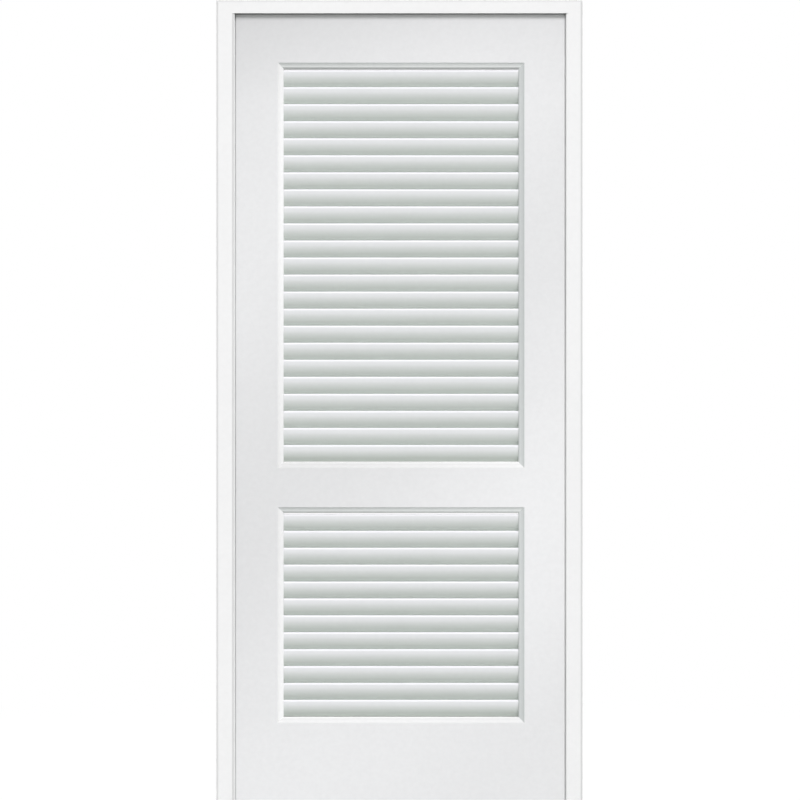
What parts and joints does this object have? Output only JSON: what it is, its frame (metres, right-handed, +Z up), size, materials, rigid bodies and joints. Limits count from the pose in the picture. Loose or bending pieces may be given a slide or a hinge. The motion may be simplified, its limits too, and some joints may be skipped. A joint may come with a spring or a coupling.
{
  "type": "louvred door",
  "caption": "Hinged wooden door leaf with an upper and a lower bank of fixed louvre slats, hung on butt hinges in a rebated three-sided frame.",
  "frame": {"origin": "on the outer face of the hinge jamb, at floor level, halfway through the depth of the frame", "axes": "+X across the doorway from the hinge jamb to the strike jamb, +Y from the push side to the pull side, +Z up"},
  "size_m": [0.942, 0.0706, 2.0615],
  "materials": {
    "frame_paint": "white satin paint on wood",
    "leaf_paint": "white satin paint on wood",
    "slat_paint": "white satin paint on wood",
    "hinge_steel": "satin nickel plated steel"
  },
  "bodies": {
    "frame": {"hinge_jamb": "frame_paint", "strike_jamb": "frame_paint", "head_jamb": "frame_paint", "top_hinge_frame_leaf": "hinge_steel", "middle_hinge_frame_leaf": "hinge_steel", "bottom_hinge_frame_leaf": "hinge_steel", "top_hinge_pin": "hinge_steel", "middle_hinge_pin": "hinge_steel", "bottom_hinge_pin": "hinge_steel"},
    "leaf": {"hinge_stile": "leaf_paint", "lock_stile": "leaf_paint", "top_rail": "leaf_paint", "lock_rail": "leaf_paint", "bottom_rail": "leaf_paint", "upper_left_bead": "leaf_paint", "upper_right_bead": "leaf_paint", "upper_top_bead": "leaf_paint", "upper_bottom_bead": "leaf_paint", "lower_left_bead": "leaf_paint", "lower_right_bead": "leaf_paint", "lower_top_bead": "leaf_paint", "lower_bottom_bead": "leaf_paint", "upper_slats": "slat_paint", "lower_slats": "slat_paint", "top_hinge_door_leaf": "hinge_steel", "middle_hinge_door_leaf": "hinge_steel", "bottom_hinge_door_leaf": "hinge_steel"}
  },
  "joints": [
    {"name": "door_swing", "type": "hinge", "parent": "frame", "child": "leaf", "pos_m": [0.03775, 0.0356, 0], "axis": [0, 0, 1], "range_deg": [0, 170]}
  ]
}
